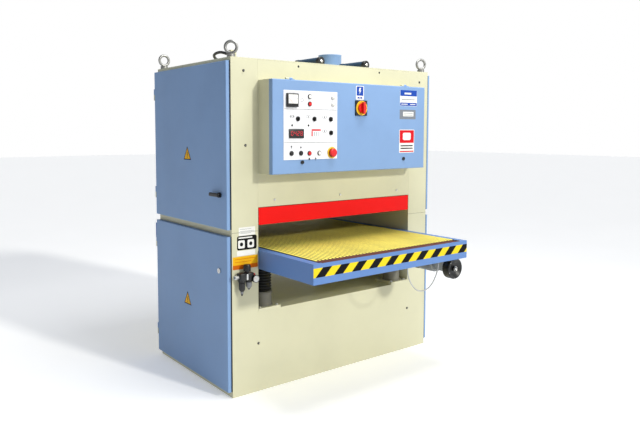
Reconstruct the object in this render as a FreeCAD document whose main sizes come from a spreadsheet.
# Wide-belt drum sander for boards up to 1.2 m wide, as a parametric document in millimetres.
# Frame: origin on the floor under the middle of the cabinet, +X to the machine's right,
# +Y along the feed from the infeed end to the outfeed end, +Z up. The infeed end faces -Y.

import FreeCAD, Part
import math
import os
from types import SimpleNamespace

DRIVING_SIZES = {
    # cabinet
    "cabinet_width": 1740, "cabinet_depth": 1010, "cabinet_height": 2100,
    "post_width": 193, "plate": 6, "seam_height": 1033, "deck_height": 517,
    "side_rim": 50, "floor_rail": 54, "top_rail": 43, "cover_sheet": 4, "seam": 0.5,
    "rear_cover_bottom": 1064, "front_cover_bottom": 1180,
    # side doors
    "door_thickness": 30, "door_skin": 3, "door_front_margin": 7, "door_rear_margin": 1,
    "upper_door_bottom": 1054, "upper_door_top_margin": 24,
    "lower_door_bottom": 38, "lower_door_top": 1011, "door_edge_radius": 5,
    "hinge_radius": 8, "hinge_knuckle": 40, "hinge_leaf": 4, "hinge_inset": 120,
    "hinge_pin_radius": 4, "pin_play": 0.05, "part_gap": 0.3,
    "handle_height": 1264, "handle_from_front": 75, "handle_lever": 112,
    "lock_height": 790, "lock_from_front": 93, "latch_spindle_radius": 8,
    "latch_tongue": 5, "handle_boss": 14, "lever_thickness": 16, "lever_width": 24,
    # lifting eyes, roof, dust outlet
    "eye_inset_x": 30, "eye_inset_y": 43, "eye_collar_radius": 26, "eye_collar_height": 20,
    "eye_ring_radius": 35, "eye_wire_radius": 9,
    "outlet_radius": 87, "outlet_wall": 2, "outlet_height": 136, "outlet_x": 326,
    "duct_margin": 77, "duct_gap": 15, "duct_bottom": 1095, "duct_below_roof": 40, "duct_wall": 2,
    "pipe_radius": 28, "pipe_inset": 120, "pipe_length": 270, "pipe_rise": 6,
    "left_pipe_x": -75, "right_pipe_x": 345, "junction_box": 40,
    # sanding heads
    "drum_radius": 90, "drum_bottom": 1075, "drum_margin": 25, "head_gap": 110,
    "tension_radius": 60, "tension_below_roof": 221, "drum_shaft_radius": 30, "tension_shaft_radius": 20,
    "abrasive_margin": 2, "abrasive_thickness": 1.5,
    "head_beam_width": 120, "head_beam_bottom": 1440, "head_beam_top": 1600, "head_plate_width": 80,
    "head_plate_thickness": 17, "tie_plate_reach": 340,
    "pressure_radius": 40, "pressure_height": 1108, "pressure_inset": 105, "pressure_shaft_radius": 12,
    # guard
    "side_clearance": 5, "guard_bottom": 1068, "guard_top": 1176, "guard_pin_radius": 5,
    "guard_pin_y": 15, "guard_pin_below": 10, "guard_lip": 14,
    # main drive
    "motor_radius": 130, "motor_length": 370, "motor_gap": 57, "motor_height": 300,
    "motor_foot_inset": 40, "motor_foot": 20,
    "rotor_shaft_radius": 19, "pulley_radius": 72, "pulley_flange_radius": 84,
    "groove_width": 16, "flange_width": 4, "v_belt_thickness": 8, "v_belt_width": 12,
    "groove_offset": 64,
    # control box
    "box_below_roof": 131, "box_height": 578, "box_depth": 116, "box_sheet": 3,
    "box_door_depth": 35, "box_hinge_radius": 7, "box_hinge_pin_radius": 3, "box_hinge_length": 25,
    "panel_inset": 82, "panel_width": 428, "panel_below_top": 64, "panel_height": 427, "panel_sheet": 2,
    "button_radius": 11, "button_travel": 4, "bezel_radius": 15, "bezel_height": 5,
    "stop_head_radius": 27, "stop_head_height": 14, "stop_collar_radius": 36, "stop_travel": 6,
    "lamp_height": 8, "meter_depth": 14, "display_depth": 6, "isolator_plate": 100, "isolator_depth": 10,
    "isolator_disc": 12, "isolator_grip": 18, "stem_reach": 12, "knob_seat": 3, "knob_height": 11,
    "knob_width": 7, "lock_face": 6, "key_slot": 3,
    # feed table
    "table_front_reach": 550, "table_rear_reach": 515, "table_bottom": 789, "table_top": 909,
    "table_plate": 6, "table_border": 64, "front_border": 28,
    "belt_margin": 4, "feed_belt_thickness": 3, "feed_roller_radius": 40, "roller_margin": 2,
    "feed_roller_inset": 80, "feed_shaft_radius": 20, "bed_inset": 150, "bed_thickness": 8.7,
    "bed_margin": 8, "bed_beam_width": 60, "bed_beam_height": 60, "end_beam_inset": 40,
    # table lift
    "jack_inset_x": 87, "jack_inset_y": 85, "jack_screw_radius": 20, "jack_screw_bottom": 320,
    "column_plate": 170, "column_plate_height": 16, "column_radius": 60, "column_wall": 8,
    "column_top": 625, "bellows_radius": 59, "bellows_wall": 8, "bellows_folds": 9, "bellows_lining": 2,
    "sprocket_radius": 50, "sprocket_bottom": 478, "sprocket_height": 20, "chain_thickness": 8,
    "chain_height": 12, "screw_play": 1, "nut_hub": 10,
    "lift_motor_x": -200, "lift_motor_radius": 50, "lift_motor_length": 220, "lift_shelf_length": 140,
    "lift_shelf_drop": 8, "lift_shelf_play": 2, "lift_hanger": 14, "lift_sprocket_radius": 30,
    "lift_shaft_radius": 10,
    # feed drive
    "wheel_z": 715, "wheel_radius": 72, "wheel_inset": 33, "wheel_depth": 60,
    "gearbox_width": 80, "gearbox_inset": 97, "gearbox_depth": 96, "gearbox_bottom": 690,
    "feed_motor_radius": 55, "feed_motor_rise": 10, "feed_motor_length": 222, "wheel_shaft_radius": 10,
    # compressed-air unit
    "air_inset": 73, "air_z": 765, "air_body": 50, "air_bracket": 12, "air_bowl_radius": 20,
    "air_bowl_length": 92, "air_knob_radius": 22, "air_gauge_radius": 24, "air_gauge_offset": 7,
    "air_port_radius": 6.6,
    # cables
    "cord_diameter": 8, "cable_diameter": 18, "gland_length": 12, "cord_inset": 115,
    # screws of the covers
    "screw_head": 6, "screw_rim": 9, "screw_height": 4, "screw_inset": 127, "screw_rise": 40,
}

DOC = FreeCAD.newDocument("DrumSander")
SHEET = DOC.addObject("Spreadsheet::Sheet", "Sizes")
NODES = []
ALONG = {
    "X": FreeCAD.Rotation(FreeCAD.Vector(0, 1, 0), 90),
    "Y": FreeCAD.Rotation(FreeCAD.Vector(1, 0, 0), -90),
    "Z": FreeCAD.Rotation(),
}


class Size:
    """A length that carries its number and the sheet formula that gives it."""

    def __init__(self, formula, number):
        self.formula = formula
        self.number = number

    @staticmethod
    def of(value):
        return value if isinstance(value, Size) else Size(f"({value})", value)

    def joined(self, sign, other, number):
        return Size(f"({self.formula} {sign} {other.formula})", number)

    def __add__(self, other):
        other = Size.of(other)
        return self.joined("+", other, self.number + other.number)

    def __sub__(self, other):
        other = Size.of(other)
        return self.joined("-", other, self.number - other.number)

    def __mul__(self, other):
        other = Size.of(other)
        return self.joined("*", other, self.number * other.number)

    def __truediv__(self, other):
        other = Size.of(other)
        return self.joined("/", other, self.number / other.number)

    def __radd__(self, other):
        return Size.of(other) + self

    def __rsub__(self, other):
        return Size.of(other) - self

    def __rmul__(self, other):
        return Size.of(other) * self

    def __neg__(self):
        return Size.of(0) - self


def fill_sheet():
    """Write the driving sizes to the sheet and return them by name."""
    for row, (name, number) in enumerate(DRIVING_SIZES.items(), start=1):
        SHEET.set(f"A{row}", name)
        SHEET.set(f"B{row}", str(number))
        SHEET.setAlias(f"B{row}", name)
    DOC.recompute()
    return SimpleNamespace(
        **{name: Size(f"Sizes.{name}", float(SHEET.get(name))) for name in DRIVING_SIZES}
    )


S = fill_sheet()
HALF = S.cabinet_width / 2
FRONT = -(S.cabinet_depth / 2)
REAR = S.cabinet_depth / 2
OPENING = HALF - S.post_width
WALL_OUT = OPENING + S.plate
DOOR_IN = HALF + S.seam
DOOR_OUT = HALF + S.door_thickness
ROOF_UNDER = S.cabinet_height - S.plate
FEED_AXIS_Z = S.table_top - S.part_gap - S.feed_roller_radius
DOOR_FACE = FRONT - S.box_depth - S.box_door_depth
PANEL_FACE = DOOR_FACE - S.panel_sheet

# sizes that follow from the sheet's, so that what fits together stays together
S.table_half = OPENING - S.side_clearance
S.guard_half = OPENING - S.side_clearance
S.box_half = OPENING - S.side_clearance
S.box_top = S.cabinet_height - S.box_below_roof
S.box_bottom = S.box_top - S.box_height
S.panel_left = S.panel_inset - S.box_half
S.panel_top = S.box_top - S.panel_below_top
S.eye_x = HALF - S.eye_inset_x
S.eye_y = REAR - S.eye_inset_y
S.duct_length = 2 * (OPENING - S.duct_margin)
S.duct_width = 2 * (S.head_gap - S.duct_gap)
S.duct_top = S.cabinet_height - S.duct_below_roof
S.drum_height = S.drum_bottom + S.drum_radius
S.head_y = S.drum_radius + S.head_gap
S.drum_face = 2 * (OPENING - S.drum_margin)
S.abrasive_width = S.drum_face - 2 * S.abrasive_margin
S.tension_height = S.cabinet_height - S.tension_below_roof
S.pressure_y = REAR - S.pressure_inset
S.motor_end = OPENING - S.motor_gap
S.motor_start = S.motor_end - S.motor_length
S.first_groove_x = WALL_OUT + S.groove_offset
S.table_front = FRONT - S.table_front_reach
S.table_rear = REAR + S.table_rear_reach
S.feed_belt_half = S.table_half - S.table_border - S.belt_margin
S.feed_roller_front = S.table_front + S.feed_roller_inset
S.feed_roller_rear = S.table_rear - S.feed_roller_inset
S.bed_front = S.table_front + S.bed_inset
S.bed_rear = S.table_rear - S.bed_inset
S.jack_x = OPENING - S.jack_inset_x
S.jack_y = REAR - S.jack_inset_y
S.wheel_x = S.table_half - S.wheel_radius
S.wheel_front = S.table_front + S.wheel_inset
S.gearbox_front = S.table_front + S.gearbox_inset
S.gearbox_rear = S.gearbox_front + S.gearbox_depth

# the grey cord under the table: distance to the left of the wheel's axis, and drop below its glands
CORD_Y = S.table_front + S.cord_inset
CORD_TOP = S.table_bottom - S.gland_length
CORD_POINTS = ((80, 0), (80, 42), (103, 109), (148, 171), (220, 201), (295, 189), (350, 137),
               (380, 82), (388, 37), (388, 0))
# the black cable on the roof: distance from the cabinet's left side, place along Y, and rise
CABLE_POINTS = ((230, 60, 18), (230, 22, 18), (216, -22, 19), (182, -66, 22), (130, -98, 31),
                (90, -146, 45), (78, -200, 54), (78, -252, 55), (78, -300, 46), (78, -340, 34),
                (78, -374, 34))


# ---------------------------------------------------------------- building blocks

def bind(item, name, value):
    item.setExpression(name, Size.of(value).formula)


def place(item, x, y, z):
    for letter, value in zip("xyz", (x, y, z)):
        bind(item, f".Placement.Base.{letter}", value)


def span(middle, width):
    return (middle - width / 2, middle + width / 2)


def side_span(side, near, far):
    """The stretch from near to far on the right (1) or left (-1) of the middle plane."""
    return (Size.of(near), Size.of(far)) if side > 0 else (-Size.of(far), -Size.of(near))


def block(name, x, y, z):
    item = DOC.addObject("Part::Box", name)
    for length, (low, high) in zip(("Length", "Width", "Height"), (x, y, z)):
        bind(item, length, high - low)
    place(item, x[0], y[0], z[0])
    return item


def rod(name, radius, start, length, along="Z"):
    """A cylinder from the point start, along +X, +Y or +Z."""
    item = DOC.addObject("Part::Cylinder", name)
    bind(item, "Radius", radius)
    bind(item, "Height", length)
    item.Placement = FreeCAD.Placement(FreeCAD.Vector(), ALONG[along])
    place(item, *start)
    return item


def taper(name, radius, end_radius, start, length, along="Z"):
    item = DOC.addObject("Part::Cone", name)
    bind(item, "Radius1", radius)
    bind(item, "Radius2", end_radius)
    bind(item, "Height", length)
    item.Placement = FreeCAD.Placement(FreeCAD.Vector(), ALONG[along])
    place(item, *start)
    return item


def torus(name, radius, wire_radius, centre, turn=0, along="Z"):
    """A ring whose axis is one of the three, turned about +Z by turn degrees."""
    item = DOC.addObject("Part::Torus", name)
    bind(item, "Radius1", radius)
    bind(item, "Radius2", wire_radius)
    turned = FreeCAD.Rotation(FreeCAD.Vector(0, 0, 1), turn)
    item.Placement = FreeCAD.Placement(FreeCAD.Vector(), turned.multiply(ALONG[along]))
    place(item, *centre)
    return item


def fuse(name, *items):
    item = DOC.addObject("Part::MultiFuse", name)
    item.Shapes = list(items)
    return item


def group(name, *items):
    """Separate solids that share one name."""
    item = DOC.addObject("Part::Compound", name)
    item.Links = list(items)
    return item


def cut(name, base, *tools):
    item = DOC.addObject("Part::Cut", name)
    item.Base = base
    item.Tool = tools[0] if len(tools) == 1 else fuse(f"{name}_tools", *tools)
    return item


def tube(name, radius, bore, start, length, along="Z"):
    return cut(name, rod(f"{name}_outer", radius, start, length, along),
               rod(f"{name}_bore", bore, start, length, along))


def mirrored(name, item):
    """The same piece on the other side of the middle plane."""
    twin = DOC.addObject("Part::Mirroring", name)
    twin.Source = item
    twin.Normal = FreeCAD.Vector(1, 0, 0)
    return twin


def softened(name, item, radius, chosen):
    """Round the edges that chosen picks, so that folded sheet has its bend radius."""
    DOC.recompute()
    rounded = DOC.addObject("Part::Fillet", name)
    rounded.Base = item
    rounded.Edges = [
        (number, radius.number, radius.number)
        for number, edge in enumerate(item.Shape.Edges, start=1) if chosen(edge)
    ]
    return rounded


def drawn(name, shape):
    """A piece whose outline is drawn from the sheet's numbers."""
    item = DOC.addObject("Part::Feature", name)
    item.Shape = shape
    item.Placement = FreeCAD.Placement()
    return item


def node(name, item):
    item.Label = name
    NODES.append(item)
    return item


def loop_band(name, y_low, z_low, radius_low, y_high, z_high, radius_high, thickness, x):
    """An endless belt round two circles in a plane across X, outside both by thickness."""
    def outline(extra):
        low, high = radius_low.number + extra, radius_high.number + extra
        start = FreeCAD.Vector(0, y_low.number, z_low.number)
        end = FreeCAD.Vector(0, y_high.number, z_high.number)
        run = end - start
        lean = math.asin((low - high) / run.Length)
        up = FreeCAD.Vector(run).normalize()
        side = FreeCAD.Vector(0, up.z, -up.y)

        def on(centre, size, sign):
            return centre + (side * (sign * math.cos(lean)) + up * math.sin(lean)) * size

        right_low, right_high = on(start, low, 1), on(end, high, 1)
        left_low, left_high = on(start, low, -1), on(end, high, -1)
        edges = [
            Part.LineSegment(right_low, right_high).toShape(),
            Part.Arc(right_high, end + up * high, left_high).toShape(),
            Part.LineSegment(left_high, left_low).toShape(),
            Part.Arc(left_low, start - up * low, right_low).toShape(),
        ]
        return Part.Face(Part.Wire(edges))

    band = outline(thickness.number).cut(outline(0))
    band.translate(FreeCAD.Vector(x[0].number, 0, 0))
    return drawn(name, band.extrude(FreeCAD.Vector((x[1] - x[0]).number, 0, 0)))


def cord_tube(name, points, diameter):
    """A cord along straight runs joined by tangent arcs, as large as the runs allow."""
    corners = [FreeCAD.Vector(*point) for point in points]
    edges = []
    here = corners[0]
    radii = []
    for before, corner, after in zip(corners, corners[1:], corners[2:]):
        come = (corner - before).normalize()
        go = (after - corner).normalize()
        half_turn = come.getAngle(go) / 2
        reach = 0.45 * min((corner - before).Length, (after - corner).Length)
        radii.append(reach / math.tan(half_turn))
        start, end = corner - come * reach, corner + go * reach
        inward = (go - come).normalize()
        centre = corner + inward * (radii[-1] / math.cos(half_turn))
        edges.append(Part.LineSegment(here, start).toShape())
        edges.append(Part.Arc(start, centre - inward * radii[-1], end).toShape())
        here = end
    edges.append(Part.LineSegment(here, corners[-1]).toShape())
    path = Part.Wire(edges)
    section = Part.Wire(Part.makeCircle(diameter.number / 2, corners[0], corners[1] - corners[0]))
    shape = path.makePipeShell([section], True, False)
    expected = path.Length * math.pi * (diameter.number / 2) ** 2
    print(f"{name}: radii {[round(radius) for radius in radii]}, length {path.Length:.0f}, "
          f"volume {shape.Volume / expected:.4f} of section times length")
    return drawn(name, shape)


# ---------------------------------------------------------------- welded cabinet

def hinge_heights(bottom, top):
    return (bottom + S.hinge_inset, top - S.hinge_inset - 2 * S.hinge_knuckle)


HINGE_X = DOOR_OUT - S.hinge_radius
HINGE_Y = REAR - S.door_rear_margin + S.hinge_radius + 1
UPPER_DOOR = (S.upper_door_bottom, S.cabinet_height - S.upper_door_top_margin)
LOWER_DOOR = (S.lower_door_bottom, S.lower_door_top)


def frame_hinges(name, door):
    """The cabinet's half of the lift-off hinges: a leaf, a knuckle and its pin."""
    hinges = []
    for low in hinge_heights(*door):
        for side in (-1, 1):
            knuckle = rod(f"{name}_knuckle", S.hinge_radius, (side * HINGE_X, HINGE_Y, low),
                          S.hinge_knuckle)
            pin = rod(f"{name}_pin", S.hinge_pin_radius, (side * HINGE_X, HINGE_Y, low),
                      2 * S.hinge_knuckle)
            leaf = block(f"{name}_leaf", side_span(side, HALF - S.side_rim, HINGE_X),
                         (REAR, REAR + S.hinge_leaf), (low, low + S.hinge_knuckle))
            hinges.append(fuse(f"{name}_hinge", knuckle, pin, leaf))
    return hinges


def side_walls(bottom, top, low_rail, high_rail):
    """Posts, inner walls and side rims of one half of the cabinet, as welded plates."""
    plates = []
    z = (bottom, top)
    for side in (-1, 1):
        for y in ((FRONT, FRONT + S.plate), (REAR - S.plate, REAR)):
            plates.append(block("post_face", side_span(side, OPENING, HALF), y, z))
        rim_x = side_span(side, HALF - S.plate, HALF)
        front_rim = (FRONT + S.plate, FRONT + S.side_rim)
        rear_rim = (REAR - S.side_rim, REAR - S.plate)
        between = (FRONT + S.side_rim, REAR - S.side_rim)
        plates.append(block("front_rim", rim_x, front_rim, z))
        plates.append(block("rear_rim", rim_x, rear_rim, z))
        plates.append(block("low_rail", rim_x, between, (bottom, bottom + low_rail)))
        plates.append(block("high_rail", rim_x, between, (top - high_rail, top)))
    return plates


def base_frame():
    """The lower half: floor plate, front and rear panels, deck, posts and inner walls."""
    inside = (FRONT + S.plate, REAR - S.plate)
    plates = side_walls(S.plate, S.seam_height, S.floor_rail, S.top_rail)
    plates.append(block("floor_plate", (-HALF, HALF), (FRONT, REAR), (Size.of(0), S.plate)))
    for y in ((FRONT, FRONT + S.plate), (REAR - S.plate, REAR)):
        plates.append(block("low_panel", (-OPENING, OPENING), y, (S.plate, S.deck_height)))
    screw_holes = [
        rod("screw_hole", S.jack_screw_radius + S.screw_play,
            (x * S.jack_x, y * S.jack_y, S.deck_height - S.plate), S.plate)
        for x in (-1, 1) for y in (-1, 1)
    ]
    deck = block("deck_plate", (-OPENING, OPENING), inside, (S.deck_height - S.plate, S.deck_height))
    plates.append(cut("deck", deck, *screw_holes))
    plates.append(block("left_wall", (-WALL_OUT, -OPENING), inside, (S.plate, S.seam_height)))
    wall = block("right_wall_plate", (OPENING, WALL_OUT), inside, (S.plate, S.seam_height))
    shaft_hole = rod("shaft_hole", 2 * S.rotor_shaft_radius, (OPENING, 0, S.motor_height), S.plate, "X")
    plates.append(cut("right_wall", wall, shaft_hole))
    node("base_frame", group("base_frame", *plates, *frame_hinges("lower", LOWER_DOOR)))


def upper_frame():
    """The upper half: posts, walls with the heads' bearings, roof, brackets and junction boxes."""
    inside = (FRONT + S.plate, REAR - S.plate)
    height = (S.seam_height, ROOF_UNDER)
    plates = side_walls(S.seam_height, ROOF_UNDER, S.side_rim / 2, S.side_rim)
    roof = block("roof_plate", (-HALF, HALF), (FRONT, REAR), (ROOF_UNDER, S.cabinet_height))
    outlet_hole = rod("outlet_hole", S.outlet_radius - S.outlet_wall, (S.outlet_x, 0, ROOF_UNDER), S.plate)
    plates.append(cut("roof", roof, outlet_hole))
    pin_z = S.guard_top - S.guard_pin_below
    right_x = (OPENING, WALL_OUT)
    wall = block("right_upper_wall_plate", right_x, inside, height)
    shaft_holes = [rod("drum_shaft_hole", S.drum_shaft_radius + 5, (OPENING, y * S.head_y, S.drum_height),
                       S.plate, "X") for y in (-1, 1)]
    pin_hole = rod("right_guard_pin_hole", S.guard_pin_radius + S.pin_play,
                   (OPENING, FRONT + S.guard_pin_y, pin_z), S.plate, "X")
    plates.append(cut("right_upper_wall", wall, pin_hole, *shaft_holes))
    left_x = (-WALL_OUT, -OPENING)
    window_y = (-S.tie_plate_reach, S.tie_plate_reach)
    window_z = (S.guard_bottom, S.tension_height + S.head_y / 2)
    strip = block("left_front_strip", left_x, (inside[0], window_y[0]), height)
    pin_hole = rod("left_guard_pin_hole", S.guard_pin_radius + S.pin_play,
                   (-WALL_OUT, FRONT + S.guard_pin_y, pin_z), S.plate, "X")
    plates.append(cut("left_front_wall", strip, pin_hole))
    plates.append(block("left_rear_wall", left_x, (window_y[1], inside[1]), height))
    plates.append(block("window_sill", left_x, window_y, (height[0], window_z[0])))
    plates.append(block("window_head", left_x, window_y, (window_z[1], height[1])))
    for side in (-1, 1):
        for end in (-1, 1):
            bracket = block("roller_bracket", side_span(side, OPENING - S.pressure_shaft_radius, OPENING),
                            span(end * S.pressure_y, 4 * S.pressure_shaft_radius),
                            span(S.pressure_height, 4 * S.pressure_shaft_radius))
            bore = rod("roller_bore", S.pressure_shaft_radius + S.pin_play,
                       (side * OPENING - S.pressure_shaft_radius * (1 if side > 0 else 0),
                        end * S.pressure_y, S.pressure_height), S.pressure_shaft_radius, "X")
            plates.append(cut("pressure_bracket", bracket, bore))
    width = S.junction_box
    for (inset, y, rise), shift in ((CABLE_POINTS[0], 0), (CABLE_POINTS[-1], -1)):
        start = y + shift * width
        plates.append(block("junction_box", span(inset - HALF, width), (start, start + width),
                            (S.cabinet_height, S.cabinet_height + rise + S.cable_diameter)))
    node("upper_frame", group("upper_frame", *plates, *frame_hinges("upper", UPPER_DOOR)))


def covers():
    """The removable sheet covers of the sanding space, front and rear."""
    x = (-(OPENING - S.seam), OPENING - S.seam)
    top = ROOF_UNDER - S.seam
    for name, y, bottom in (("front_cover", (FRONT, FRONT + S.cover_sheet), S.front_cover_bottom),
                            ("rear_cover", (REAR - S.cover_sheet, REAR), S.rear_cover_bottom)):
        node(name, block(name, x, y, (bottom, top)))


def cover_screws():
    """Button-head screws along the covers' lower edges."""
    heads = []
    tall = S.screw_height
    z = S.front_cover_bottom + S.screw_rise
    for side in (-1, 0, 1):
        x = side * (OPENING - S.screw_inset)
        heads.append(taper("front_screw", S.screw_head, S.screw_rim, (x, FRONT - tall, z), tall, "Y"))
        heads.append(taper("rear_screw", S.screw_rim, S.screw_head, (x, REAR, z), tall, "Y"))
    node("cover_screws", group("cover_screws", *heads))


def lifting_eyebolts():
    """Four lifting eyes near the roof's corners, each left at the angle it was tightened to."""
    turns = {(-1, -1): -37, (-1, 1): -2, (1, -1): -17, (1, 1): -60}
    eyes = []
    for (x, y), turn in turns.items():
        base = (x * S.eye_x, y * S.eye_y, S.cabinet_height)
        collar = rod("eye_collar", S.eye_collar_radius, base, S.eye_collar_height)
        ring_z = S.cabinet_height + S.eye_collar_height + S.eye_ring_radius + 2 * S.eye_wire_radius / 3
        ring = torus("eye_ring", S.eye_ring_radius, S.eye_wire_radius, (base[0], base[1], ring_z),
                     turn, "Y")
        eyes.append(fuse("eye", collar, ring))
    node("lifting_eyebolts", group("lifting_eyebolts", *eyes))


def dust_hood():
    """The suction duct between the heads and its round outlet through the roof."""
    x = span(Size.of(0), S.duct_length)
    y = span(Size.of(0), S.duct_width)
    z = (S.duct_bottom, S.duct_top)
    walls = [block("duct_side", x, side_span(side, S.duct_width / 2 - S.duct_wall, S.duct_width / 2), z)
             for side in (-1, 1)]
    inner_y = (y[0] + S.duct_wall, y[1] - S.duct_wall)
    half = S.duct_length / 2
    walls += [block("duct_end", side_span(side, half - S.duct_wall, half), inner_y, z)
              for side in (-1, 1)]
    neck = S.outlet_radius - S.outlet_wall
    bore = neck - S.outlet_wall
    start = S.duct_top + S.duct_wall
    lid = block("duct_lid", x, y, (S.duct_top, start))
    mouth = rod("duct_mouth", bore, (S.outlet_x, 0, S.duct_top), S.duct_wall)
    walls.append(cut("duct_top", lid, mouth))
    walls.append(tube("outlet_neck", neck, bore, (S.outlet_x, 0, start), S.cabinet_height - start))
    walls.append(tube("outlet_collar", S.outlet_radius, bore, (S.outlet_x, 0, S.cabinet_height),
                      S.outlet_height))
    node("dust_hood", group("dust_hood", *walls))


def roof_fittings():
    """Two capped cylinders on saddles on the roof."""
    pipes = []
    front = FRONT + S.pipe_inset
    rear = front + S.pipe_length
    for x in (S.left_pipe_x, S.right_pipe_x):
        centre_z = S.cabinet_height + S.pipe_rise + S.pipe_radius
        pipe = rod("roof_pipe", S.pipe_radius, (x, front, centre_z), S.pipe_length, "Y")
        saddles = [block("saddle", span(x, S.pipe_radius), span(y, S.pipe_radius),
                         (S.cabinet_height, centre_z - S.pipe_radius / 2))
                   for y in (front + 2 * S.pipe_radius, rear - 2 * S.pipe_radius)]
        pipes.append(fuse("saddled_pipe", pipe, *saddles))
    node("roof_fittings", group("roof_fittings", *pipes))


# ---------------------------------------------------------------- doors

def hollow_door(name, door):
    """The left door: folded sheet, open to the cabinet, with its hinge knuckles."""
    x = (-DOOR_OUT, -DOOR_IN)
    y = (FRONT + S.door_front_margin, REAR - S.door_rear_margin)
    outer = block(f"{name}_outer", x, y, door)
    face = outer_face(-1)
    rounded = softened(f"{name}_rounded", outer, S.door_edge_radius, face)
    skin = S.door_skin
    hollow = block(f"{name}_hollow", (x[0] + skin, x[1]), (y[0] + skin, y[1] - skin),
                   (door[0] + skin, door[1] - skin))
    knuckles = []
    bores = []
    for low in hinge_heights(*door):
        z = low + S.hinge_knuckle + S.part_gap
        length = S.hinge_knuckle
        knuckles.append(rod(f"{name}_knuckle", S.hinge_radius, (-HINGE_X, HINGE_Y, z), length))
        knuckles.append(block(f"{name}_leaf", (-HINGE_X - S.hinge_radius, -HINGE_X), (y[1], HINGE_Y),
                              (z, z + length)))
        bores.append(rod(f"{name}_bore", S.hinge_pin_radius + S.pin_play, (-HINGE_X, HINGE_Y, z), length))
    return fuse(f"{name}_sheet", cut(f"{name}_tray", rounded, hollow), *knuckles), bores


def outer_face(side):
    """Pick the edges of a box that lie in its face away from the middle plane."""
    def chosen(edge):
        return (abs(edge.BoundBox.XLength) < 1e-6
                and abs(edge.CenterOfMass.x - side * DOOR_OUT.number) < 1e-6)
    return chosen


def latch(name, y, z, outside):
    """A quarter-turn latch: the outside piece, its spindle and its tongue inside the door."""
    radius = S.latch_spindle_radius
    reach = S.door_thickness + radius
    start_x = -DOOR_OUT - S.part_gap
    spindle = rod(f"{name}_spindle", radius, (start_x, y, z), reach, "X")
    tongue_x = (start_x + reach - S.latch_tongue, start_x + reach)
    tongue = block(f"{name}_tongue", tongue_x, (y - 3 * radius / 2, y + radius), span(z, 2 * radius))
    return fuse(name, spindle, tongue, *outside)


def side_doors():
    """Four side doors with their latches; the right side mirrors the left."""
    front_edge = FRONT + S.door_front_margin
    handle_y = front_edge + S.handle_from_front
    lock_y = front_edge + S.lock_from_front
    outside = -DOOR_OUT - S.part_gap
    places = {"upper": (UPPER_DOOR, handle_y, S.handle_height),
              "lower": (LOWER_DOOR, lock_y, S.lock_height)}
    disc_radius = 2 * S.latch_spindle_radius
    boss_x = outside - S.handle_boss
    boss = rod("handle_boss", disc_radius, (boss_x, handle_y, S.handle_height), S.handle_boss, "X")
    lever_y = handle_y - disc_radius
    lever = softened("handle_lever_rounded",
                     block("handle_lever", (boss_x - S.lever_thickness, boss_x),
                           (lever_y, lever_y + S.handle_lever), span(S.handle_height, S.lever_width)),
                     S.handle_lever / 16, lambda edge: True)
    lock_x = outside - S.lock_face
    disc = rod("lock_disc", disc_radius, (lock_x, lock_y, S.lock_height), S.lock_face, "X")
    slot = block("key_slot", (lock_x, lock_x + S.key_slot), span(lock_y, S.key_slot),
                 span(S.lock_height, 9 * S.latch_spindle_radius / 4))
    latches = {"upper": ("handle", [boss, lever]), "lower": ("lock", [cut("lock_face", disc, slot)])}
    for level, (door, y, z) in places.items():
        sheet, bores = hollow_door(f"{level}_door", door)
        bores.append(rod(f"{level}_latch_hole", S.latch_spindle_radius + S.pin_play, (-DOOR_OUT, y, z),
                         S.door_skin, "X"))
        left = cut(f"{level}_left_door", sheet, *bores)
        kind, outer_piece = latches[level]
        left_latch = latch(f"{level}_left_{kind}", y, z, outer_piece)
        node(f"{level}_left_door", left)
        node(f"{level}_left_{kind}", left_latch)
        node(f"{level}_right_door", mirrored(f"{level}_right_door", left))
        node(f"{level}_right_{kind}", mirrored(f"{level}_right_{kind}", left_latch))


# ---------------------------------------------------------------- sanding heads

PLATE_IN = OPENING - S.head_plate_thickness


def head_beams():
    """Each head's beam and end plates with their bores, the left tie plate and the right bearings."""
    pieces = []
    for y in (-1, 1):
        centre = y * S.head_y
        pieces.append(block("beam", (-PLATE_IN, PLATE_IN), span(centre, S.head_beam_width),
                            (S.head_beam_bottom, S.head_beam_top)))
        for side in (-1, 1):
            x = side_span(side, PLATE_IN, OPENING)
            rim = S.head_plate_width / 2
            plate = block("end_plate", x, span(centre, S.head_plate_width),
                          (S.drum_height - rim, S.tension_height + rim))
            bores = [rod("plate_bore", radius + S.pin_play, (x[0], centre, z), S.head_plate_thickness, "X")
                     for radius, z in ((S.drum_shaft_radius, S.drum_height),
                                       (S.tension_shaft_radius, S.tension_height))]
            pieces.append(cut("bored_plate", plate, *bores))
        housing_x = (WALL_OUT, WALL_OUT + S.drum_shaft_radius)
        housing = block("bearing_housing", housing_x, span(centre, 4 * S.drum_shaft_radius),
                        span(S.drum_height, 4 * S.drum_shaft_radius))
        bore = rod("bearing_bore", S.drum_shaft_radius + S.pin_play, (WALL_OUT, centre, S.drum_height),
                   S.drum_shaft_radius, "X")
        pieces.append(cut("bearing", housing, bore))
    pieces.append(block("tie_plate", (-WALL_OUT, -OPENING), (-S.tie_plate_reach, S.tie_plate_reach),
                        (S.head_beam_bottom, S.head_beam_top)))
    node("head_beams", group("head_beams", *pieces))


def pulley(name, grooves, y, z):
    """A pulley with one flange more than it has grooves, as revolved stock along X."""
    first = S.first_groove_x + grooves[0] * (S.groove_width + S.flange_width)
    length = len(grooves) * (S.groove_width + S.flange_width)
    discs = [rod(f"{name}_core", S.pulley_radius, (first, y, z), length - S.flange_width, "X")]
    for count in range(len(grooves) + 1):
        x = first - S.flange_width + count * (S.groove_width + S.flange_width)
        discs.append(rod(f"{name}_flange", S.pulley_flange_radius, (x, y, z), S.flange_width, "X"))
    return discs, first + length - S.flange_width


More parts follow.
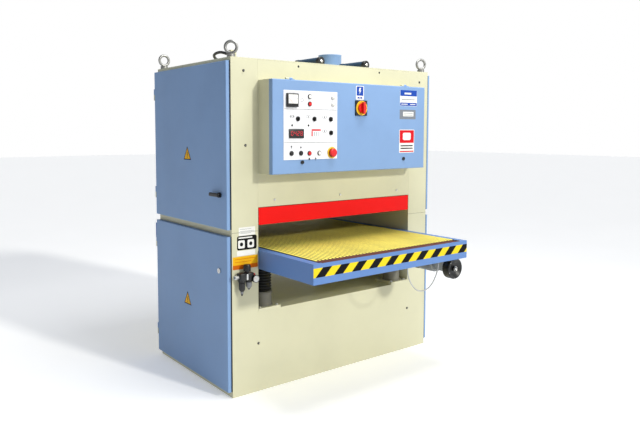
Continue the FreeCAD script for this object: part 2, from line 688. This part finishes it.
def drums():
    """The two rubber-faced contact drums with shafts and pulleys, and the two tension rollers."""
    half_face = S.drum_face / 2
    for name, y, grooves in (("front", -1, (0,)), ("rear", 1, (1,))):
        centre = y * S.head_y
        discs, end = pulley(f"{name}_pulley", grooves, centre, S.drum_height)
        body = rod(f"{name}_drum_body", S.drum_radius, (-half_face, centre, S.drum_height),
                   S.drum_face, "X")
        start = -OPENING + S.part_gap
        shaft = rod(f"{name}_drum_shaft", S.drum_shaft_radius, (start, centre, S.drum_height),
                    end - start, "X")
        node(f"{name}_drum", fuse(f"{name}_drum", body, shaft, *discs))
        roller = rod(f"{name}_roller_body", S.tension_radius, (-half_face, centre, S.tension_height),
                     S.drum_face, "X")
        tips = rod(f"{name}_roller_shaft", S.tension_shaft_radius, (start, centre, S.tension_height),
                   -2 * start, "X")
        node(f"{name}_tension_roller", fuse(f"{name}_tension_roller", roller, tips))


def abrasive_belts():
    """The two endless sanding belts, each round its drum and tension roller."""
    half = S.abrasive_width / 2
    bands = [loop_band("abrasive_band", y * S.head_y, S.drum_height, S.drum_radius + S.part_gap,
                       y * S.head_y, S.tension_height, S.tension_radius + S.part_gap,
                       S.abrasive_thickness, (-half, half)) for y in (-1, 1)]
    node("abrasive_belts", group("abrasive_belts", *bands))


def pressure_rollers():
    """The rollers that hold the board down on the feed belt, before and after the drums."""
    reach = OPENING - S.part_gap
    for name, y in (("infeed", -1), ("outfeed", 1)):
        face = PLATE_IN - S.head_plate_thickness
        at = (y * S.pressure_y, S.pressure_height)
        body = rod(f"{name}_roller_body", S.pressure_radius, (-face, *at), 2 * face, "X")
        shaft = rod(f"{name}_roller_shaft", S.pressure_shaft_radius, (-reach, *at), 2 * reach, "X")
        node(f"{name}_pressure_roller", fuse(f"{name}_pressure_roller", body, shaft))


def safety_guard():
    """The red infeed guard: a folded strip on two pins, which swings inwards when pushed."""
    y = (FRONT, FRONT + S.cover_sheet)
    z = (S.guard_bottom, S.guard_top)
    strip = block("guard_strip", (-S.guard_half, S.guard_half), y, z)
    lip = block("guard_lip", (-S.guard_half, S.guard_half), (y[1], y[1] + S.guard_lip),
                (z[0], z[0] + S.cover_sheet))
    pieces = [strip, lip]
    pin_at = (FRONT + S.guard_pin_y, S.guard_top - S.guard_pin_below)
    for side in (-1, 1):
        x = side_span(side, S.guard_half - S.cover_sheet, S.guard_half)
        pieces.append(block("guard_cheek", x, (y[1], pin_at[0] + 3 * S.guard_pin_radius / 2),
                            (pin_at[1] - 2 * S.guard_pin_radius, S.guard_top)))
        reach = side_span(side, S.guard_half - S.cover_sheet, WALL_OUT)
        pieces.append(rod("guard_pin", S.guard_pin_radius, (reach[0], *pin_at), reach[1] - reach[0], "X"))
    node("safety_guard", fuse("safety_guard", *pieces))


# ---------------------------------------------------------------- main drive

def main_motor():
    """The foot-mounted motor in the base, its rotor with both pulleys, and the two V-belts."""
    axis = (Size.of(0), S.motor_height)
    length = S.motor_length
    inset = S.motor_foot_inset
    body = rod("motor_body", S.motor_radius, (S.motor_start, *axis), length, "X")
    foot = block("motor_foot", (S.motor_start + inset, S.motor_end - inset),
                 span(Size.of(0), 2 * S.motor_radius), (S.plate, S.plate + S.motor_foot))
    saddle = block("motor_saddle", (S.motor_start + 3 * inset / 2, S.motor_end - 3 * inset / 2),
                   span(Size.of(0), S.motor_radius), (S.plate, S.motor_height - S.motor_radius / 2))
    depth = length / 4
    bore = rod("motor_bore", S.rotor_shaft_radius + S.pin_play, (S.motor_end - depth, *axis), depth, "X")
    node("main_motor", cut("main_motor", fuse("motor_stock", body, foot, saddle), bore))
    discs, end = pulley("motor_pulley", (0, 1), *axis)
    start = S.motor_end - depth + 1
    shaft = rod("rotor_shaft", S.rotor_shaft_radius, (start, *axis), end - start, "X")
    node("motor_rotor", fuse("motor_rotor", shaft, *discs))


def v_belts():
    radius = S.pulley_radius + S.part_gap
    bands = []
    for groove, y in enumerate((-1, 1)):
        low = S.first_groove_x + groove * (S.groove_width + S.flange_width)
        middle = low + S.groove_width / 2
        bands.append(loop_band("v_belt", Size.of(0), S.motor_height, radius, y * S.head_y, S.drum_height,
                               radius, S.v_belt_thickness, span(middle, S.v_belt_width)))
    node("v_belts", group("v_belts", *bands))


# ---------------------------------------------------------------- control box

BOX_FRONT = FRONT - S.box_depth
BOX_HINGE_Z = S.box_top + S.box_hinge_radius + 1
BOX_HINGE_Y = BOX_FRONT - 1
BOX_HINGES = (122 - S.box_half, S.box_half - 211)


def control_box():
    """The electrical box on the front cover: five sheets and the fixed half of its hinges."""
    sheet = S.box_sheet
    x = (-S.box_half, S.box_half)
    y = (BOX_FRONT, FRONT)
    z = (S.box_bottom, S.box_top)
    inner_y = (y[0], y[1] - sheet)
    inner_z = (z[0] + sheet, z[1] - sheet)
    pieces = [
        block("box_back", x, (y[1] - sheet, y[1]), z),
        block("box_floor", x, inner_y, (z[0], inner_z[0])),
        block("box_roof", x, inner_y, (inner_z[1], z[1])),
        block("box_left", (x[0], x[0] + sheet), inner_y, inner_z),
        block("box_right", (x[1] - sheet, x[1]), inner_y, inner_z),
    ]
    for start in BOX_HINGES:
        at = (BOX_HINGE_Y, BOX_HINGE_Z)
        knuckle = rod("box_knuckle", S.box_hinge_radius, (start, *at), S.box_hinge_length, "X")
        pin = rod("box_pin", S.box_hinge_pin_radius, (start, *at), 2 * S.box_hinge_length, "X")
        leaf = block("box_leaf", (start, start + S.box_hinge_length),
                     (BOX_HINGE_Y, BOX_HINGE_Y + 4 * S.box_hinge_radius), (z[1], z[1] + S.hinge_leaf))
        pieces.append(fuse("box_hinge", knuckle, pin, leaf))
    node("control_box", group("control_box", *pieces))




def on_lid(right, down):
    """A place on the lid, by its distances from the panel's left edge and the box's top."""
    return S.panel_left + right, S.box_top - down


BUTTONS = {
    "start_button": on_lid(201, 99), "stop_button": on_lid(201, 145),
    "feed_stop_button": on_lid(199, 453), "feed_start_button": on_lid(279, 453),
    "table_up_button": on_lid(59, 451), "table_down_button": on_lid(132, 451),
}
SELECTORS = {
    "left_selector": on_lid(108, 238), "middle_selector": on_lid(238, 238),
    "right_selector": on_lid(372, 238), "mode_selector": on_lid(375, 325),
}
EMERGENCY_STOP = on_lid(383, 452)
ISOLATOR = on_lid(635, 161)
PILOT_LAMPS = (on_lid(391, 99), on_lid(391, 143))
DOOR_LOCKS = {
    "left_box_lock": (226 - S.box_half, S.box_bottom + 70),
    "right_box_lock": (S.box_half - 214, S.box_bottom + 70),
}
AMMETER = (on_lid(20, 166), on_lid(102, 84))
DISPLAY = (on_lid(40, 357), on_lid(151, 301))


def control_holes(depth_from, depth_to):
    """Clearance holes for every spindle and plunger, between two depths along Y."""
    radius = S.button_radius + S.part_gap
    places = [*BUTTONS.values(), *SELECTORS.values(), EMERGENCY_STOP]
    return [rod("control_hole", radius, (x, depth_from, z), depth_to - depth_from, "Y") for x, z in places]


def control_door():
    """The box's lid, hinged along its top edge, with the white panel and its fixed instruments."""
    x = (-S.box_half, S.box_half)
    y = (DOOR_FACE, BOX_FRONT - S.part_gap)
    z = (S.box_bottom, S.box_top)
    skin = S.box_sheet
    stock = softened("lid_rounded", block("lid_stock", x, y, z), S.door_edge_radius,
                     lambda edge: abs(edge.BoundBox.YLength) < 1e-6
                     and abs(edge.CenterOfMass.y - DOOR_FACE.number) < 1e-6)
    hollow = block("lid_hollow", (x[0] + skin, x[1] - skin), (y[0] + skin, y[1]),
                   (z[0] + skin, z[1] - skin))
    hinges = []
    length = S.box_hinge_length
    for start in BOX_HINGES:
        low = start + length + S.part_gap
        at = (BOX_HINGE_Y, BOX_HINGE_Z)
        knuckle = rod("lid_knuckle", S.box_hinge_radius, (low, *at), length, "X")
        leaf = block("lid_leaf", (low, low + length),
                     (BOX_HINGE_Y - 4 * S.box_hinge_radius, BOX_HINGE_Y), (z[1], z[1] + S.hinge_leaf))
        bore = rod("lid_bore", S.box_hinge_pin_radius + S.pin_play, (low, *at), length, "X")
        hinges.append(cut("lid_hinge", fuse("lid_hinge_stock", knuckle, leaf), bore))
    holes = control_holes(DOOR_FACE, DOOR_FACE + skin)
    holes.append(rod("isolator_hole", S.button_radius + S.part_gap, (ISOLATOR[0], DOOR_FACE, ISOLATOR[1]),
                     skin, "Y"))
    for lock_x, lock_z in DOOR_LOCKS.values():
        holes.append(rod("lock_hole", S.latch_spindle_radius + S.part_gap, (lock_x, DOOR_FACE, lock_z),
                         skin, "Y"))
    node("control_door", group("control_door", cut("lid_tray", stock, hollow, *holes), *hinges))

    plate = block("panel_stock", (S.panel_left, S.panel_left + S.panel_width), (PANEL_FACE, DOOR_FACE),
                  (S.panel_top - S.panel_height, S.panel_top))
    node("panel_plate", cut("panel_plate", plate, *control_holes(PANEL_FACE, DOOR_FACE)))


def panel_instruments():
    """Bezels, ammeter, display, pilot lamps, stop collar and isolator base on the lid."""
    pieces = []
    bore = S.button_radius + S.part_gap
    for x, z in (*BUTTONS.values(), *SELECTORS.values()):
        pieces.append(tube("bezel", S.bezel_radius, bore, (x, PANEL_FACE - S.bezel_height, z),
                           S.bezel_height, "Y"))
    x, z = EMERGENCY_STOP
    pieces.append(tube("stop_collar", S.stop_collar_radius, bore, (x, PANEL_FACE - S.bezel_height, z),
                       S.bezel_height, "Y"))
    for x, z in PILOT_LAMPS:
        pieces.append(rod("pilot_lamp", S.button_radius, (x, PANEL_FACE - S.lamp_height, z),
                          S.lamp_height, "Y"))
    for (low, high), depth in ((AMMETER, S.meter_depth), (DISPLAY, S.display_depth)):
        pieces.append(block("gauge", (low[0], high[0]), (PANEL_FACE - depth, PANEL_FACE),
                            (low[1], high[1])))
    x, z = ISOLATOR
    depth = S.isolator_depth
    base = block("isolator_plate", span(x, S.isolator_plate), (DOOR_FACE - depth, DOOR_FACE),
                 span(z, S.isolator_plate))
    hole = rod("isolator_base_hole", bore, (x, DOOR_FACE - depth, z), depth, "Y")
    pieces.append(cut("isolator_base", base, hole))
    node("panel_instruments", group("panel_instruments", *pieces))


def plungers():
    """The push buttons and the mushroom stop, each a plunger that travels into the panel."""
    inside = DOOR_FACE + S.box_sheet + S.stem_reach
    for name, (x, z) in BUTTONS.items():
        front = PANEL_FACE - S.bezel_height - S.button_travel
        stem = rod(f"{name}_stem", S.button_radius, (x, front, z), inside - front, "Y")
        node(name, softened(name, stem, S.button_radius / 8, front_edge(front)))
    x, z = EMERGENCY_STOP
    head_back = PANEL_FACE - S.bezel_height - S.stop_travel - S.part_gap
    head_front = head_back - S.stop_head_height
    head = rod("stop_head", S.stop_head_radius, (x, head_front, z), S.stop_head_height, "Y")
    cap = softened("stop_cap", head, S.stop_head_radius / 5, front_edge(head_front))
    stem = rod("stop_stem", S.button_radius, (x, head_back, z), inside - head_back, "Y")
    node("emergency_stop", fuse("emergency_stop", cap, stem))


def front_edge(depth):
    """Pick the edges that lie at one depth along Y."""
    return lambda edge: (abs(edge.CenterOfMass.y - depth.number) < 1e-6
                         and abs(edge.BoundBox.YLength) < 1e-6)


def knobs():
    """The rotary selectors, the isolator's handle and the lid's two locks."""
    inside = DOOR_FACE + S.box_sheet + S.stem_reach
    for name, (x, z) in SELECTORS.items():
        seat = PANEL_FACE - S.bezel_height - S.knob_seat
        stem = rod(f"{name}_stem", S.button_radius, (x, seat, z), inside - seat, "Y")
        grip = block(f"{name}_grip", span(x, S.knob_width), (seat - S.knob_height, seat),
                     span(z, 2 * S.button_radius))
        node(name, fuse(name, stem, grip))
    x, z = ISOLATOR
    back = DOOR_FACE - S.isolator_depth - S.part_gap
    front = back - S.isolator_disc
    disc = rod("isolator_disc", 3 * S.button_radius, (x, front, z), S.isolator_disc, "Y")
    grip = block("isolator_grip", span(x, S.isolator_grip), (front - S.isolator_grip, front),
                 span(z, 7 * S.button_radius))
    stem = rod("isolator_stem", S.button_radius, (x, back, z), inside - back, "Y")
    node("isolator_handle", fuse("isolator_handle", disc, grip, stem))
    spindle = S.latch_spindle_radius
    for name, (x, z) in DOOR_LOCKS.items():
        back = DOOR_FACE - S.part_gap
        front = back - S.lock_face
        face = rod(f"{name}_face", 3 * spindle / 2, (x, front, z), S.lock_face, "Y")
        slot = block(f"{name}_slot", span(x, S.key_slot), (front, front + S.key_slot),
                     span(z, 7 * spindle / 4))
        stem = rod(f"{name}_stem", spindle, (x, back, z), inside - back, "Y")
        tongue = block(f"{name}_tongue", (x - spindle, x + 3 * spindle), (inside, inside + spindle / 2),
                       span(z, 2 * spindle))
        node(name, fuse(name, cut(f"{name}_slotted", face, slot), stem, tongue))


# ---------------------------------------------------------------- feed table

def table_frame():
    """The table: folded side members, front and rear plates, cross beams, bed and bearings."""
    plate = S.table_plate
    height = (S.table_bottom, S.table_top)
    along = (S.table_front + plate, S.table_rear - plate)
    web_in = S.table_half - plate
    flange_in = S.table_half - S.table_border
    pieces = [
        block("front_plate", (-S.table_half, S.table_half), (S.table_front, S.table_front + plate), height),
        block("rear_plate", (-S.table_half, S.table_half), (S.table_rear - plate, S.table_rear), height),
    ]
    flanges = ((S.table_top - plate, S.table_top), (S.table_bottom, S.table_bottom + plate))
    for side in (-1, 1):
        pieces.append(block("side_web", side_span(side, web_in, S.table_half), along, height))
        for z in flanges:
            pieces.append(block("side_flange", side_span(side, flange_in, web_in), along, z))
        for y in (S.feed_roller_front, S.feed_roller_rear):
            bearing = block("roller_bearing", side_span(side, flange_in, web_in),
                            span(y, 3 * S.feed_shaft_radius),
                            (S.table_bottom + 3 * plate, S.table_top - plate))
            bore = rod("roller_bearing_bore", S.feed_shaft_radius + S.pin_play,
                       (side_span(side, flange_in, web_in)[0], y, FEED_AXIS_Z),
                       web_in - flange_in, "X")
            pieces.append(cut("bored_bearing", bearing, bore))
    inner = (-flange_in, flange_in)
    for z in flanges:
        pieces.append(block("front_flange", inner, (along[0], S.table_front + S.front_border), z))
        pieces.append(block("rear_flange", inner, (S.table_rear - S.front_border, along[1]), z))
    bed_low = FEED_AXIS_Z + S.feed_roller_radius - S.bed_thickness
    inset = S.end_beam_inset
    for y in (S.bed_front + inset, -S.jack_y, Size.of(0), S.jack_y, S.bed_rear - inset):
        pieces.append(block("cross_beam", (-web_in, web_in), span(y, S.bed_beam_width),
                            (bed_low - S.bed_beam_height, bed_low)))
    bed_half = flange_in - S.bed_margin
    pieces.append(block("bed", (-bed_half, bed_half), (S.bed_front, S.bed_rear),
                        (bed_low, bed_low + S.bed_thickness)))
    low_z = flanges[1]
    drive_plate = (S.gearbox_front - S.roller_margin, S.gearbox_rear + S.roller_margin)
    for y in (drive_plate, span(-S.jack_y, 2 * S.column_radius), span(S.jack_y, 2 * S.column_radius)):
        pieces.append(block("low_plate", inner, y, low_z))
    for inset, _ in (CORD_POINTS[0], CORD_POINTS[-1]):
        at = (S.wheel_x - inset, CORD_Y, CORD_TOP)
        pieces.append(rod("cord_gland", S.cord_diameter, at, S.gland_length))
    node("table_frame", group("table_frame", *pieces))


def feed_belt():
    """The ribbed feed belt and the two rollers that carry it."""
    radius = S.feed_roller_radius + S.part_gap
    node("conveyor_belt", loop_band("conveyor_belt", S.feed_roller_front, FEED_AXIS_Z, radius,
                                    S.feed_roller_rear, FEED_AXIS_Z, radius, S.feed_belt_thickness,
                                    (-S.feed_belt_half, S.feed_belt_half)))
    face = S.feed_belt_half - S.roller_margin
    reach = S.table_half - S.table_plate - S.part_gap
    for name, y in (("idler_roller", S.feed_roller_front), ("drive_roller", S.feed_roller_rear)):
        body = rod(f"{name}_body", S.feed_roller_radius, (-face, y, FEED_AXIS_Z), 2 * face, "X")
        shaft = rod(f"{name}_shaft", S.feed_shaft_radius, (-reach, y, FEED_AXIS_Z), 2 * reach, "X")
        node(name, fuse(name, body, shaft))


def feed_drive():
    """The geared feed motor under the table and the black wheel that sets the feed speed."""
    x = span(S.wheel_x, S.gearbox_width)
    gearbox = block("gearbox", x, (S.gearbox_front, S.gearbox_rear), (S.gearbox_bottom, S.table_bottom))
    motor = rod("feed_motor_body", S.feed_motor_radius,
                (S.wheel_x, S.gearbox_rear, S.wheel_z + S.feed_motor_rise), S.feed_motor_length, "Y")
    depth = (S.gearbox_rear - S.gearbox_front) / 2
    bore = rod("wheel_bore", S.wheel_shaft_radius + S.pin_play, (S.wheel_x, S.gearbox_front, S.wheel_z),
               depth, "Y")
    node("feed_motor", cut("feed_motor", fuse("feed_motor_stock", gearbox, motor), bore))

    at = (S.wheel_x, S.wheel_z)
    stock = rod("wheel_stock", S.wheel_radius, (at[0], S.wheel_front, at[1]), S.wheel_depth, "Y")
    rim = softened("wheel_rim", stock, S.wheel_radius / 9, lambda edge: abs(edge.BoundBox.YLength) < 1e-6)
    dish = taper("wheel_dish", 5 * S.wheel_radius / 6, S.wheel_radius / 2, (at[0], S.wheel_front, at[1]),
                 S.wheel_depth / 4, "Y")
    hub = rod("wheel_hub", S.wheel_radius / 4, (at[0], S.wheel_front, at[1]), S.wheel_depth / 2, "Y")
    back = S.wheel_front + S.wheel_depth
    shaft = rod("wheel_shaft", S.wheel_shaft_radius, (at[0], back, at[1]),
                S.gearbox_front - back + depth - S.screw_play, "Y")
    node("feed_handwheel", fuse("feed_handwheel", cut("wheel_dished", rim, dish), hub, shaft))


def cords():
    """The grey cord that hangs under the table, and the black cable over the roof's left side."""
    hanging = [(S.wheel_x.number - inset, CORD_Y.number, CORD_TOP.number - drop)
               for inset, drop in CORD_POINTS]
    node("table_cord", cord_tube("table_cord", hanging, S.cord_diameter))
    lying = [(inset - HALF.number, y, S.cabinet_height.number + rise) for inset, y, rise in CABLE_POINTS]
    node("roof_cable", cord_tube("roof_cable", lying, S.cable_diameter))


# ---------------------------------------------------------------- table lift

CORNERS = [(x, y) for y in (-1, 1) for x in (-1, 1)]


def jack_columns():
    """Four screw-jack columns bolted to the deck, with their travelling screws."""
    columns = []
    screws = []
    bore = S.jack_screw_radius + S.screw_play
    for x, y in CORNERS:
        at = (x * S.jack_x, y * S.jack_y)
        foot = block("column_foot", span(at[0], S.column_plate), span(at[1], S.column_plate),
                     (S.deck_height, S.deck_height + S.column_plate_height))
        foot_bore = rod("foot_bore", bore, (*at, S.deck_height), S.column_plate_height)
        footed = cut("bored_foot", foot, foot_bore)
        start = S.deck_height + S.column_plate_height
        barrel = tube("column_barrel", S.column_radius, S.column_radius - S.column_wall, (*at, start),
                      S.column_top - start)
        columns += [footed, barrel]
        screws.append(rod("jack_screw", S.jack_screw_radius, (*at, S.jack_screw_bottom),
                          S.table_bottom - S.jack_screw_bottom))
    node("jack_columns", group("jack_columns", *columns))
    node("jack_screws", group("jack_screws", *screws))


def bellows():
    """Folded bellows over each screw, from the column's top to the table."""
    low = S.column_top.number + S.part_gap.number
    high = S.table_bottom.number - S.part_gap.number
    folds = int(S.bellows_folds.number)
    outer = S.bellows_radius.number
    inner = outer - S.bellows_wall.number
    pitch = (high - low) / folds
    lining = inner - S.bellows_lining.number
    outline = [FreeCAD.Vector(lining, 0, low)]
    for fold in range(folds):
        outline.append(FreeCAD.Vector(inner, 0, low + fold * pitch))
        outline.append(FreeCAD.Vector(outer, 0, low + (fold + 0.5) * pitch))
    outline += [FreeCAD.Vector(inner, 0, high), FreeCAD.Vector(lining, 0, high), outline[0]]
    section = Part.Face(Part.makePolygon(outline))
    sleeve = section.revolve(FreeCAD.Vector(), FreeCAD.Vector(0, 0, 1), 360)
    sleeves = []
    for x, y in CORNERS:
        moved = sleeve.copy()
        moved.translate(FreeCAD.Vector((x * S.jack_x).number, (y * S.jack_y).number, 0))
        sleeves.append(moved)
    node("bellows", drawn("bellows", Part.makeCompound(sleeves)))


def jack_drive():
    """The nut sprockets under the deck and the chain that turns all four together."""
    pieces = []
    bore = S.jack_screw_radius + S.seam
    top = S.deck_height - S.plate
    for x, y in CORNERS:
        at = (x * S.jack_x, y * S.jack_y)
        disc = rod("sprocket", S.sprocket_radius, (*at, S.sprocket_bottom), S.sprocket_height)
        hub = rod("sprocket_hub", S.jack_screw_radius + S.nut_hub, (*at, S.sprocket_bottom),
                  top - S.sprocket_bottom)
        pieces.append(cut("nut_sprocket", fuse("sprocket_stock", disc, hub),
                          rod("nut_bore", bore, (*at, S.sprocket_bottom), top - S.sprocket_bottom)))
    z = span(S.sprocket_bottom + S.sprocket_height / 2, S.chain_height)

    def rounded_plate(name, radius):
        plates = [block(f"{name}_long", (-S.jack_x, S.jack_x), (-S.jack_y - radius, S.jack_y + radius), z),
                  block(f"{name}_wide", (-S.jack_x - radius, S.jack_x + radius), (-S.jack_y, S.jack_y), z)]
        corners = [rod(f"{name}_corner", radius, (x * S.jack_x, y * S.jack_y, z[0]), S.chain_height)
                   for x, y in CORNERS]
        return fuse(name, *plates, *corners)

    inner = S.sprocket_radius + S.part_gap
    pieces.append(cut("chain", rounded_plate("chain_outside", inner + S.chain_thickness),
                      rounded_plate("chain_inside", inner)))
    node("jack_drive", group("jack_drive", *pieces))


def lift_motor():
    """The geared motor that drives the jack chain, hung from the deck."""
    x = S.lift_motor_x
    y = S.lift_sprocket_radius - S.jack_y - S.sprocket_radius
    under = S.deck_height - S.plate
    radius = S.lift_motor_radius
    shelf = (S.sprocket_bottom - S.lift_shelf_drop, S.sprocket_bottom - S.lift_shelf_play)
    body = rod("lift_motor_body", radius, (x, y, shelf[0] - S.lift_motor_length), S.lift_motor_length)
    plate = block("lift_shelf", span(x, S.lift_shelf_length), span(y, 2 * radius), shelf)
    reach = (S.lift_shelf_length - S.lift_hanger) / 2
    hangers = [block("lift_hanger", span(x + side * reach, S.lift_hanger), (y - 2 * radius / 5, y + radius),
                     (shelf[1], under)) for side in (-1, 1)]
    shaft = rod("lift_shaft", S.lift_shaft_radius, (x, y, shelf[1]),
                S.sprocket_bottom + S.sprocket_height - shelf[1])
    sprocket = rod("lift_sprocket", S.lift_sprocket_radius, (x, y, S.sprocket_bottom), S.sprocket_height)
    node("lift_motor", fuse("lift_motor", body, plate, *hangers, shaft, sprocket))


# ---------------------------------------------------------------- small fittings

def air_unit():
    """The filter and regulator on the left post: body, two bowls, knob and gauge."""
    post = FRONT
    size = S.air_body
    centre = S.air_inset - HALF
    y = (post - S.air_bracket - size, post - S.air_bracket)
    middle = (y[0] + y[1]) / 2
    bracket = block("air_bracket", span(centre, size), (y[1], post), span(S.air_z, size))
    body = block("air_body", span(centre, 2 * size), y, span(S.air_z, size))
    low = S.air_z - size / 2
    pieces = [bracket, body]
    for side, length in ((-1, S.air_bowl_length), (1, 2 * S.air_bowl_length / 3)):
        x = centre + side * size / 2
        bowl = rod("air_bowl", S.air_bowl_radius, (x, middle, low - length / 2), length / 2)
        tip = taper("air_bowl_tip", S.air_bowl_radius / 3, S.air_bowl_radius, (x, middle, low - length),
                    length / 2)
        pieces.append(fuse("filter_bowl", bowl, tip))
    top = S.air_z + size / 2
    pieces.append(rod("air_knob", S.air_knob_radius, (centre + size / 4, middle, top), size))
    depth = size / 4
    gauge_at = (centre + size + S.air_gauge_offset, y[0] - depth, S.air_z - size / 3)
    pieces.append(rod("air_gauge", S.air_gauge_radius, gauge_at, depth, "Y"))
    pieces.append(tube("air_inlet", 2 * S.air_port_radius, S.air_port_radius,
                       (centre - 3 * size / 2, middle, S.air_z), size / 2, "X"))
    node("air_unit", group("air_unit", *pieces))


def main():
    base_frame()
    upper_frame()
    covers()
    cover_screws()
    lifting_eyebolts()
    dust_hood()
    roof_fittings()
    side_doors()
    head_beams()
    drums()
    abrasive_belts()
    pressure_rollers()
    safety_guard()
    main_motor()
    v_belts()
    control_box()
    control_door()
    panel_instruments()
    plungers()
    knobs()
    table_frame()
    feed_belt()
    feed_drive()
    cords()
    jack_columns()
    bellows()
    jack_drive()
    lift_motor()
    air_unit()
    DOC.recompute()
    check_and_write()


def check_and_write():
    """Refuse a failed object or an empty shape, then write every node to its own file."""
    for item in DOC.Objects:
        if {"Invalid", "Error"} & set(item.State):
            raise RuntimeError(f"{item.Label} failed: {item.State}")
    labels = [item.Label for item in NODES]
    if len(set(labels)) != len(labels):
        raise RuntimeError("two nodes share a label")
    for item in NODES:
        if item.Shape.isNull() or not item.Shape.isValid() or not item.Shape.Solids:
            raise RuntimeError(f"{item.Label} has no valid shape")
    os.makedirs("parts", exist_ok=True)
    for item in NODES:
        item.Shape.exportStep(f"parts/{item.Label}.step")
    print(len(NODES), "nodes written")


main()
